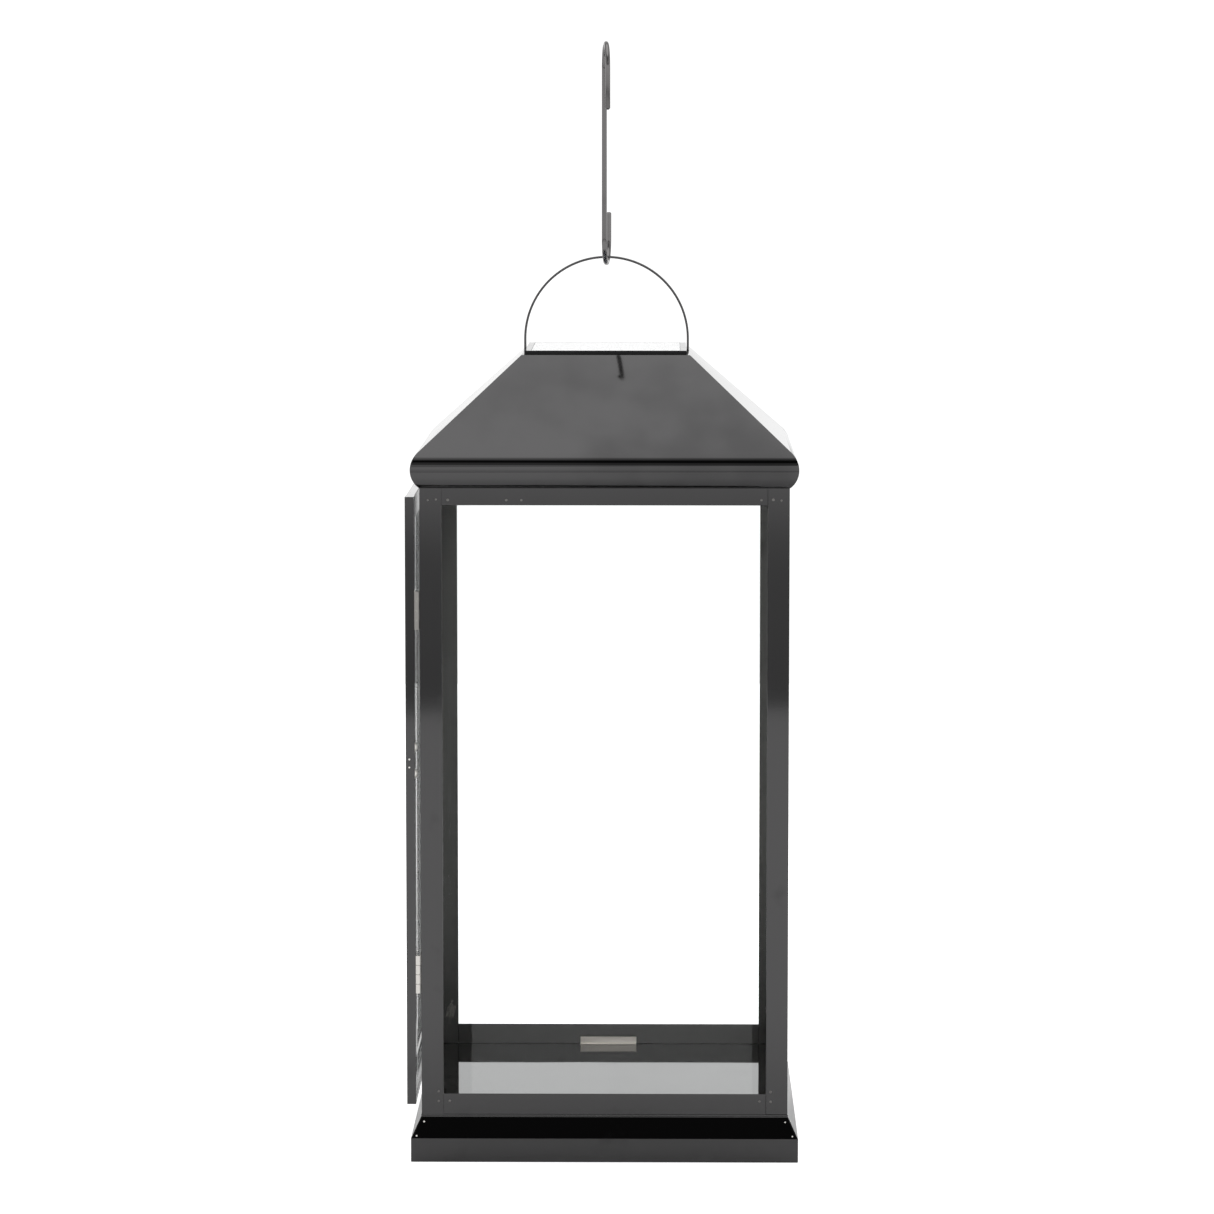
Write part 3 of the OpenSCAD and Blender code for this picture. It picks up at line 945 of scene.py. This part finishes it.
def make_bars() -> Growth:
    """A row of thin equal bars, such as the printed lines of a solar cell.

    Returns:
        The tree, with inputs Count, Step, Bar, Seed and Material.
    """
    grown = Growth(
        "row of bars",
        [
            ("Count", INTEGER, 10),
            ("Step", VECTOR, (0.002, 0.0, 0.0)),
            ("Bar", VECTOR, (0.0002, 0.05, 0.00003)),
            ("Seed", INTEGER, SEED),
            ("Material", MATERIAL, None),
        ],
    )
    graph, given = grown.graph, grown.given
    bar = graph.add("GeometryNodeMeshCube", {"Size": given.outputs["Bar"]})
    copies = graph.add(
        "GeometryNodeDuplicateElements",
        {"Geometry": given.outputs["Geometry"], "Amount": given.outputs["Count"]},
        domain="POINT",
    )
    offset = graph.add(
        "ShaderNodeVectorMath",
        {0: given.outputs["Step"], 3: copies.outputs["Duplicate Index"]},
        operation="SCALE",
    )
    moved = graph.add(
        "GeometryNodeSetPosition", {"Geometry": copies.outputs[0], "Offset": offset.outputs[0]}
    )
    put = graph.add(
        "GeometryNodeInstanceOnPoints", {"Points": moved.outputs[0], "Instance": bar.outputs[0]}
    )
    grown.close(put.outputs[0], given.outputs["Material"])
    return grown


def make_sweep() -> Growth:
    """A strap with rounded edges along a chain of edges.

    Returns:
        The tree, with inputs Width, Thickness, Edge, Seed and Material.
    """
    grown = Growth(
        "strap along a path",
        [
            ("Width", FLOAT, 0.012),
            ("Thickness", FLOAT, 0.0015),
            ("Edge", FLOAT, 0.0003),
            ("Seed", INTEGER, SEED),
            ("Material", MATERIAL, None),
        ],
    )
    graph, given = grown.graph, grown.given
    path = graph.add("GeometryNodeMeshToCurve", {"Mesh": given.outputs["Geometry"]})
    shape = graph.add(
        "GeometryNodeCurvePrimitiveQuadrilateral",
        {"Width": given.outputs["Width"], "Height": given.outputs["Thickness"]},
    )
    section = graph.add(
        "GeometryNodeFilletCurve",
        {"Curve": shape.outputs[0], "Radius": given.outputs["Edge"], "Count": 4},
        mode="POLY",
    )
    swept = graph.add(
        "GeometryNodeCurveToMesh",
        {"Curve": path.outputs[0], "Profile Curve": section.outputs[0], "Fill Caps": True},
    )
    smooth = graph.add("GeometryNodeSetShadeSmooth", {"Geometry": swept.outputs[0]})
    grown.close(smooth.outputs[0], given.outputs["Material"])
    return grown


# ---------------------------------------------------------------- sub-assemblies


@dataclass
class Base:
    """Skirt, underside and floor.

    Attributes:
        shop: the workshop.
    """

    shop: Workshop

    def build(self) -> None:
        """Rounds the sheet's folds and cut edges."""
        self.shop.round_all(
            {
                "base_skirt": Rounding(0.5, steps=4),
                "base_plate": Rounding(0.2, steps=2),
                "floor_plate": Rounding(0.25, steps=2, finish="floor_mirror"),
            }
        )


@dataclass
class Frame:
    """Posts, rails, the spots left where they were joined, and painted glint dots on the skirt's
    corners.

    Attributes:
        shop: the workshop.
        dots: the tree that makes round dots.
        post_edge: how the posts are rounded.
        rail_edge: how the rails are rounded.
        inward: how squarely a face looks inwards where it is left unpolished.
        spot_radius: radius of a weld spot, in millimetres.
        glint_radius: radius of a painted glint dot on the skirt's corners, in millimetres.
        spot_height: height of a weld spot, in millimetres.
        shoulder: height of the skirt's fold, in millimetres.
        rail_spots: X, and height above the top rail's lower edge, in millimetres.
        top_spots: distance out from a rail's end, and height above the top rail's lower edge.
        low_spots: distance out from a rail's end, and height above the low rail's upper edge.
        upper_glint: depth of the upper painted glint dot under the shoulder's top, and its distance in
            from the corner.
        lower_glint: height of the lower painted glint dot above the fold, and its distance in from the
            corner.
    """

    shop: Workshop
    dots: Growth
    post_edge: Rounding = Rounding(0.45, steps=4)
    rail_edge: Rounding = Rounding(0.25)
    inward: float = -0.3
    spot_radius: float = 0.85
    glint_radius: float = 0.6
    spot_height: float = 0.16
    shoulder: float = 16.0
    rail_spots: tuple[Pair, ...] = ((-64.7, 3.5), (-54.8, 3.5))
    top_spots: tuple[Pair, ...] = ((9.0, 3.4), (3.6, 3.9), (-4.2, 3.6))
    low_spots: tuple[Pair, ...] = ((3.2, 1.4), (3.2, -5.2), (-4.2, -5.0))
    upper_glint: Pair = (3.4, 8.6)
    lower_glint: Pair = (1.6, 3.8)

    def build(self) -> None:
        """Builds the frame, its weld spots and the painted glint dots on the skirt's corners."""
        for place in ("front_left", "front_right", "back_right", "back_left"):
            self.dull_inside(self.shop.rounded(f"post_{place}", self.post_edge))
        for side in ("front", "right", "back", "left"):
            self.dull_inside(self.shop.rounded(f"rail_low_{side}", self.rail_edge))
            self.dull_inside(self.shop.rounded(f"rail_top_{side}", self.rail_edge))
        self.spots("frame_spot_welds", self.frame_spots(), self.spot_radius, "spot_nickel")
        # painted glints: near-white dots on the shoulder corners stand in for highlights
        self.spots("base_corner_glints", self.shoulder_glint_dots(), self.glint_radius, "weld_spots")

    def dull_inside(self, piece: bpy.types.Object) -> None:
        """Leaves the faces that look into the lantern unpolished.

        Args:
            piece: a post or a rail.
        """
        piece.data.materials.append(self.shop.finishes["inside_nickel"])
        for face in piece.data.polygons:
            out = Vector((face.center.x, face.center.y, 0.0))
            if face.normal.dot(out.normalized()) < self.inward:
                face.material_index = 1

    def frame_spots(self) -> list[Spot]:
        """Where the spots of one side are.

        Returns:
            X, distance from the middle, height and lean of each, in millimetres.
        """
        low, high = self.shop.box("rail_low_front")
        top, _ = self.shop.box("rail_top_front")
        half, face = high.x / MM, -low.y / MM
        above, below = top.z / MM, high.z / MM
        places = [(x, above + rise) for x, rise in self.rail_spots]
        for end in (-1, 1):
            places += [(end * (half + out), above + rise) for out, rise in self.top_spots]
            places += [(end * (half + out), below + rise) for out, rise in self.low_spots]
        return [(x, face, z, 0.0) for x, z in places]

    def shoulder_glint_dots(self) -> list[Spot]:
        """Where the painted glint dots on one side's shoulder corners are; they stand in for highlights.

        Returns:
            X, distance from the middle, height and lean of each, in millimetres.
        """
        _, high = self.shop.box("base_skirt")
        floor, _ = self.shop.box("floor_plate")
        half, top = high.x / MM, high.z / MM
        lean = (half + floor.x / MM) / (top - self.shoulder)
        depth, upper_inset = self.upper_glint
        rise, lower_inset = self.lower_glint
        heights = ((top - depth, upper_inset), (self.shoulder + rise, lower_inset))
        return [
            (end * (half - inset), half - lean * (z - self.shoulder), z, lean)
            for end in (-1, 1)
            for z, inset in heights
        ]

    def spots(self, name: str, places: Sequence[Spot], radius: float, material: str) -> None:
        """Sets the same spots on all four sides.

        Args:
            name: the piece's name.
            places: the spots of one side.
            radius: their radius, in millimetres.
            material: their finish.
        """
        points, normals = [], []
        for side in Side:
            turn = math.radians(90 * side.value)
            cos, sin = math.cos(turn), math.sin(turn)
            for x, out, z, lean in places:
                points.append(((x * cos + out * sin) * MM, (x * sin - out * cos) * MM, z * MM))
                normals.append((sin, -cos, lean))
        values = {"Radius": radius * MM, "Height": self.spot_height * MM}
        values["Material"] = self.shop.finishes[material]
        piece = self.dots.grow(name, points_mesh(name, points, normals), values)
        self.shop.finish(piece, "lantern", "dark_nickel", material)


@dataclass
class Glazing:
    """Three fixed panes and their clips.

    Attributes:
        shop: the workshop.
    """

    shop: Workshop

    def build(self) -> None:
        """Grinds the panes' edges and rounds the clips."""
        ground = Rounding(0.2, steps=2)
        plans = {f"glass_{side}": ground for side in ("right", "back", "left")}
        clip = Rounding(0.2)
        self.shop.round_all({**plans, "glass_clips_low": clip, "glass_clips_top": clip})


@dataclass
class Roof:
    """Roof with its rolled eave, and the ledge under it.

    Attributes:
        shop: the workshop.
    """

    shop: Workshop

    def build(self) -> None:
        """Rounds the roof's folds and the ledge's edges."""
        self.shop.round_all(
            {
                "roof_shell": Rounding(0.35, finish="roof_nickel"),
                "roof_ledge": Rounding(0.2, steps=2),
            }
        )


@dataclass
class Carrying:
    """Strap handle and hook.

    Attributes:
        shop: the workshop.
        strap: the tree that sweeps a strap.
        thickness: thickness of the strap, in millimetres.
        foot: distance of the feet's ends from the middle, in millimetres.
        bend: radius of the feet's bends along the strap's middle, in millimetres.
        edge: rounding of the strap's edges, in millimetres.
        bend_steps: pieces round each bend.
        arc_steps: pieces round the arch.
    """

    shop: Workshop
    strap: Growth
    thickness: float = 1.5
    foot: float = 43.3
    bend: float = 1.2
    edge: float = 0.35
    bend_steps: int = 6
    arc_steps: int = 72

    def build(self) -> None:
        """Sweeps the strap through its slots and rounds the hook's cut ends."""
        low, high = self.shop.box("handle_strap")
        piece = self.strap.grow(
            "handle_strap_swept",
            path_mesh("strap line", self.strap_line(low, high)),
            {
                "Width": high.y - low.y,
                "Thickness": self.thickness * MM,
                "Edge": self.edge * MM,
                "Material": self.shop.finishes["dark_nickel"],
            },
        )
        piece.data.set_sharp_from_angle(angle=STRAP_CREASE)
        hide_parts("handle_strap")
        self.shop.finish(piece, "lantern", "dark_nickel")
        self.shop.rounded("hook", Rounding(0.25))

    def strap_line(self, low: Vector, high: Vector) -> list[Point]:
        """The strap's middle line, from foot to foot over the arch.

        Args:
            low: lowest corner of the strap's box.
            high: highest corner of the strap's box.
        Returns:
            The points in order.
        """
        half = self.thickness * MM / 2
        radius = high.x - half
        centre = high.z - high.x
        foot_z = low.z + half
        bend = self.bend * MM
        turns = [math.radians(270 - 90 * i / self.bend_steps) for i in range(self.bend_steps + 1)]
        points: list[Point] = [(-self.foot * MM, 0.0, foot_z)]
        turn_x, turn_z = bend - radius, foot_z + bend
        points += [(turn_x + bend * math.cos(a), 0.0, turn_z + bend * math.sin(a)) for a in turns]
        mirrored = [(-x, y, z) for x, y, z in reversed(points)]
        arch = [math.pi - math.pi * i / self.arc_steps for i in range(self.arc_steps + 1)]
        points += [(radius * math.cos(a), 0.0, centre + radius * math.sin(a)) for a in arch]
        return points + mirrored


@dataclass
class Door:
    """The door and its hinges.

    Attributes:
        shop: the workshop.
        dots: the tree that makes round dots.
        glint_inset: distance of the painted glint dots from the stile's face, in millimetres.
        glint_shares: where the painted glint dots lie between the top and the bottom of the stops.
        glint_size: radius and height of a painted glint dot, in millimetres.
    """

    shop: Workshop
    dots: Growth
    glint_inset: float = 2.4
    glint_shares: Pair = (0.45, 0.67)
    glint_size: Pair = (0.6, 0.15)

    def build(self) -> None:
        """Rounds the bars, leaves, pins and rivets, and sets the painted glint dots."""
        bars = ("stile_hinge", "stile_free", "rail_top", "rail_low")
        plans = {f"door_{bar}": Rounding(0.5, steps=4) for bar in bars}
        plans |= {
            "door_glass": Rounding(0.2, steps=2),
            # painted glints: the stops get the near-white finish so they show as highlights
            "door_stops": Rounding(0.1, steps=2, finish="weld_spots"),
            "door_pull": Rounding(0.25),
            "door_rivets": Rounding(0.15),
            "post_rivets": Rounding(0.15),
        }
        for level in ("upper", "lower"):
            plans |= {
                f"hinge_{level}_door_leaf": Rounding(0.12, steps=2),
                f"hinge_{level}_post_leaf": Rounding(0.12, steps=2),
                f"hinge_{level}_pin": Rounding(0.2, steps=2),
            }
        plans["catch_magnet"] = Rounding(0.3)
        self.shop.round_all(plans)
        self.edge_glints()

    def edge_glints(self) -> None:
        """Sets two small rivet-like dots on the hinge stile's edge, between the stops, coloured
        near-white as painted glints.
        """
        stile, _ = self.shop.box("door_stile_hinge")
        bottom, top = self.shop.box("door_stops")
        heights = [top.z - share * (top.z - bottom.z) for share in self.glint_shares]
        points = [(stile.x + self.glint_inset * MM, stile.y, height) for height in heights]
        radius, height = self.glint_size
        values = {"Radius": radius * MM, "Height": height * MM}
        # painted glints: the near-white finish makes these rivet-like dots show as highlights
        values["Material"] = self.shop.finishes["weld_spots"]
        mesh = points_mesh("door_edge_spots", points, [(0, -1, 0)] * len(points))
        piece = self.dots.grow("door_edge_spots", mesh, values)
        self.shop.finish(piece, "door", "dark_nickel", "weld_spots")


@dataclass
class SolarUnit:
    """The lamp unit let into the flat top.

    Attributes:
        shop: the workshop.
        bars: the tree that makes rows of bars.
        cells: cells across the panel.
        fingers: thin printed lines on the panel.
        margin: bare border of the panel, in millimetres.
        line_height: height of a printed line, in millimetres.
        finger_width: width of a thin line, in millimetres.
        bus_width: width of a bus bar, in millimetres.
        bus_height: height of a bus bar, in heights of a thin line.
        resin_inset: how far the resin keeps from the panel's edge, in millimetres.
        resin_gap: how far the resin's underside is above the panel, in millimetres.
    """

    shop: Workshop
    bars: Growth
    cells: int = 5
    fingers: int = 46
    margin: float = 2.5
    line_height: float = 0.02
    finger_width: float = 0.12
    bus_width: float = 0.9
    bus_height: float = 1.6
    resin_inset: float = 0.3
    resin_gap: float = 0.04

    def build(self) -> None:
        """Dresses the unit's pieces and prints the panel's lines."""
        edges = {
            "unit_housing": 0.35,
            "unit_cover": 0.3,
            "battery_lid": 0.3,
            "unit_seal": 0.15,
            "solar_panel": 0.15,
            "panel_leads": 0.1,
            "circuit_board": 0.15,
            "led_lamp": 0.1,
            "battery_cell": 0.4,
            "battery_contacts": 0.1,
            "cover_screws": 0.12,
            "lid_screws": 0.12,
            "lamp_lens": 0.2,
            "switch_body": 0.2,
            "switch_slider": 0.25,
        }
        self.shop.round_all({node: Rounding(edge) for node, edge in edges.items()})
        self.print_lines()
        self.pour_resin()

    def pour_resin(self) -> None:
        """A clear glossy sheet that covers the printed lines."""
        low, high = self.shop.box("solar_panel")
        _, rim = self.shop.box("unit_housing")
        inset = self.resin_inset * MM
        mesh = bpy.data.meshes.new("panel_resin")
        work = bmesh.new()
        bmesh.ops.create_cube(work, size=1.0)
        bottom = high.z + self.resin_gap * MM
        size = Vector((high.x - low.x - 2 * inset, high.y - low.y - 2 * inset, rim.z - bottom))
        for vertex in work.verts:
            vertex.co = Vector([c * s for c, s in zip(vertex.co, size)])
            vertex.co.z += bottom + size.z / 2
        work.to_mesh(mesh)
        work.free()
        resin = bpy.data.objects.new("panel_resin", mesh)
        bpy.context.scene.collection.objects.link(resin)
        self.shop.finish(resin, "lantern", "solar_cells", "glass")

    def print_lines(self) -> None:
        """Prints collecting lines, cell gaps and bus bars on the panel."""
        low, high = self.shop.box("solar_panel")
        margin = self.margin * MM
        span = high.x - low.x - 2 * margin
        height = self.line_height * MM
        bus_bars = 2 * self.cells
        bus_step = span / bus_bars
        finger_step = span / (self.fingers - 1)
        self.row(
            "panel_finger_lines",
            (0.0, low.y + margin, high.z),
            self.fingers,
            (0, finger_step, 0),
            (span, self.finger_width * MM, height),
        )
        self.row(
            "panel_bus_bars",
            (low.x + margin + bus_step / 2, 0.0, high.z),
            bus_bars,
            (bus_step, 0, 0),
            (self.bus_width * MM, span, self.bus_height * height),
        )

    def row(self, name: str, start: Point, count: int, step: Point, bar: Point) -> None:
        """Prints one row of equal bars.

        Args:
            name: the piece's name.
            start: middle of the first bar.
            count: how many bars.
            step: from one bar to the next.
            bar: size of a bar.
        """
        silver = self.shop.finishes["silver_lines"]
        values = {"Count": count, "Step": step, "Bar": bar, "Material": silver}
        piece = self.bars.grow(name, points_mesh(name, [start], [(0, 0, 1)]), values)
        self.shop.finish(piece, "lantern", "solar_cells", "silver_lines")


# ---------------------------------------------------------------- studio


@dataclass
class Studio:
    """Pale floor, soft light from all round and the camera.

    Attributes:
        floor_radius: how far the pale floor reaches, in metres.
        floor_gap: how far the floor lies under the lantern, in millimetres.
        camera_place: where the camera stands.
        pitch: how far the camera looks down, in degrees.
        turn: how far it is turned to the left, in degrees.
        lens: focal length on a 36 mm sensor.
        clip: nearest and farthest distance that is drawn, in metres.
        side_light: strength of the light beside and behind at middle heights.
        side_start: how squarely in front that light ends and where it is full, as minus cosines.
        side_low: sines of the angles between which it fades in.
        side_high: sines of the angles between which it fades out.
        seen_light: brightness of the background as it is seen.
        seen_floor: glow of the floor as it is seen.
        shaded_near_glow: distance and glow of the floor under the lantern, as it lights the lantern; the
            low glow there is painted shade.
        far_glow: distance and glow of the floor farther out.
        bands: brightness at each angle above the horizon, from straight down to straight up.
    """

    floor_radius: float = 2.5
    floor_gap: float = 0.2
    camera_place: Point = (0.0372, -3.2956, 0.7102)
    pitch: float = 6.09
    turn: float = 0.642
    lens: float = 143.44
    clip: Pair = (0.05, 50.0)
    side_light: float = 0.55
    side_start: Pair = (-0.992, -0.955)
    side_low: Pair = (0.3, 0.42)
    side_high: Pair = (0.9, 0.76)
    seen_light: float = 1.15
    seen_floor: float = 0.75
    shaded_near_glow: Pair = (0.1, 0.02)
    far_glow: Pair = (0.75, 0.3)
    bands: list[tuple[float, float]] = field(
        default_factory=lambda: [
            (-90.0, 0.9),
            (-7.65, 0.85),
            (-7.3, 0.26),
            (-6.7, 0.42),
            (-5.1, 0.46),
            (-4.85, 0.95),
            (2.0, 1.15),
            (14.0, 1.2),
            (19.0, 0.3),
            (28.0, 0.25),
            (34.0, 0.03),
            (50.0, 0.03),
            (60.0, 1.6),
            (90.0, 1.6),
        ]
    )

    def build(self) -> None:
        """Builds the studio."""
        bpy.context.scene.view_settings.view_transform = "Standard"
        self.light()
        self.floor()
        self.camera()

    def light(self) -> None:
        """Soft light in level bands: bright overhead, dark between, pale near the horizon."""
        world = bpy.data.worlds.new("soft studio")
        world.use_nodes = True
        graph = Graph(world.node_tree)
        direction = graph.add("ShaderNodeTexCoord").outputs["Generated"]
        height = graph.add("ShaderNodeSeparateXYZ", {0: direction}).outputs[2]
        share = graph.ramp(height, -1.0, 1.0, smooth=False)
        ramp = graph.add("ShaderNodeValToRGB", {0: share})
        stops = ramp.color_ramp.elements
        peak = max(value for _, value in self.bands)
        for index, (angle, value) in enumerate(self.bands):
            at = (math.sin(math.radians(angle)) + 1) / 2
            stop = stops[index] if index < 2 else stops.new(at)
            stop.position = at
            stop.color = (value / peak, value / peak, value / peak, 1.0)
        seen = graph.add("ShaderNodeLightPath").outputs["Is Camera Ray"]
        strength = graph.math("MULTIPLY", ramp.outputs[0], peak)
        strength = graph.math("ADD", strength, self.side_fill(graph, direction, height))
        level = linear(graph, seen, strength, self.seen_light)
        back = graph.add("ShaderNodeBackground", {"Color": (1.0, 1.0, 1.0), "Strength": level})
        graph.add("ShaderNodeOutputWorld", {"Surface": back.outputs[0]})
        bpy.context.scene.world = world

    def side_fill(
        self, graph: Graph, direction: bpy.types.NodeSocket, height: bpy.types.NodeSocket
    ) -> bpy.types.NodeSocket:
        """Extra light at middle heights, everywhere but in front of the opening.

        Args:
            graph: the world's graph.
            direction: the direction looked in.
            height: its vertical part.
        Returns:
            The light to add.
        """
        level_only = (1.0, 1.0, 0.0)
        flat = graph.add("ShaderNodeVectorMath", {0: direction, 1: level_only}, operation="MULTIPLY")
        level = graph.add("ShaderNodeVectorMath", {0: flat.outputs[0]}, operation="NORMALIZE")
        front = graph.add("ShaderNodeSeparateXYZ", {0: level.outputs[0]}).outputs[1]
        beside = graph.ramp(front, *self.side_start)
        fades = graph.ramp(height, *self.side_low), graph.ramp(height, *self.side_high)
        band = graph.math("MULTIPLY", *fades)
        return graph.math("MULTIPLY", graph.math("MULTIPLY", band, beside), self.side_light)

    def floor(self) -> None:
        """A round pale floor, lit to a near-even white, that leaves the underside lit and in view; as
        the lantern sees it, its glow is painted darker under the lantern as shade.
        """
        mesh = bpy.data.meshes.new("pale floor")
        work = bmesh.new()
        bmesh.ops.create_circle(work, cap_ends=True, radius=self.floor_radius, segments=96)
        work.to_mesh(mesh)
        work.free()
        floor = bpy.data.objects.new("pale_floor", mesh)
        floor.location.z = -self.floor_gap * MM
        bpy.context.scene.collection.objects.link(floor)
        material, graph = new_material("pale floor")
        coord = graph.add("ShaderNodeTexCoord").outputs["Object"]
        away = graph.add("ShaderNodeVectorMath", {0: coord}, operation="LENGTH").outputs["Value"]
        path = graph.add("ShaderNodeLightPath").outputs
        (near, near_shade_light), (far, far_light) = self.shaded_near_glow, self.far_glow
        # painted shade: the floor's glow drops under the lantern, so the lantern's faces reflect a
        # darker floor there
        given = graph.ramp(away, near, far, near_shade_light, far_light)
        glow = linear(graph, path["Is Camera Ray"], given, self.seen_floor)
        body = graph.add(
            "ShaderNodeBsdfPrincipled",
            {
                "Base Color": (0.8, 0.8, 0.8),
                "Roughness": 0.8,
                "Specular IOR Level": 0.0,
                "Emission Color": (1.0, 1.0, 1.0),
                "Emission Strength": glow,
            },
        )
        touching = graph.math("LESS_THAN", path["Ray Length"], 2.5 * self.floor_gap * MM)
        below = graph.add("ShaderNodeNewGeometry").outputs["Backfacing"]
        open_share = graph.math("MAXIMUM", touching, below)
        clear = graph.add("ShaderNodeBsdfTransparent", {"Color": (1.0, 1.0, 1.0)})
        mixed = graph.add(
            "ShaderNodeMixShader", {0: open_share, 1: body.outputs[0], 2: clear.outputs[0]}
        )
        graph.add("ShaderNodeOutputMaterial", {"Surface": mixed.outputs[0]})
        mesh.materials.append(material)

    def camera(self) -> None:
        """Sets the camera where the lantern is seen from."""
        data = bpy.data.cameras.new("camera")
        data.lens = self.lens
        data.sensor_width = 36.0
        data.clip_start, data.clip_end = self.clip
        camera = bpy.data.objects.new("camera", data)
        camera.location = self.camera_place
        camera.rotation_euler = [math.radians(angle) for angle in (90 - self.pitch, 0.0, self.turn)]
        bpy.context.scene.collection.objects.link(camera)
        bpy.context.scene.camera = camera


def main() -> None:
    """Builds every sub-assembly in order, then the studio."""
    logging.basicConfig(level=logging.INFO, format="%(name)s: %(message)s")
    shop = Workshop(Finishes())
    dots = make_dots()
    builders: list[Callable[[], None]] = [
        Base(shop).build,
        Frame(shop, dots).build,
        Glazing(shop).build,
        Roof(shop).build,
        Carrying(shop, make_sweep()).build,
        Door(shop, dots).build,
        SolarUnit(shop, make_bars()).build,
        Studio().build,
    ]
    for build in builders:
        build()
    LOG.info("%d pieces finished", len(shop.reported))


if __name__ == "__main__":
    main()
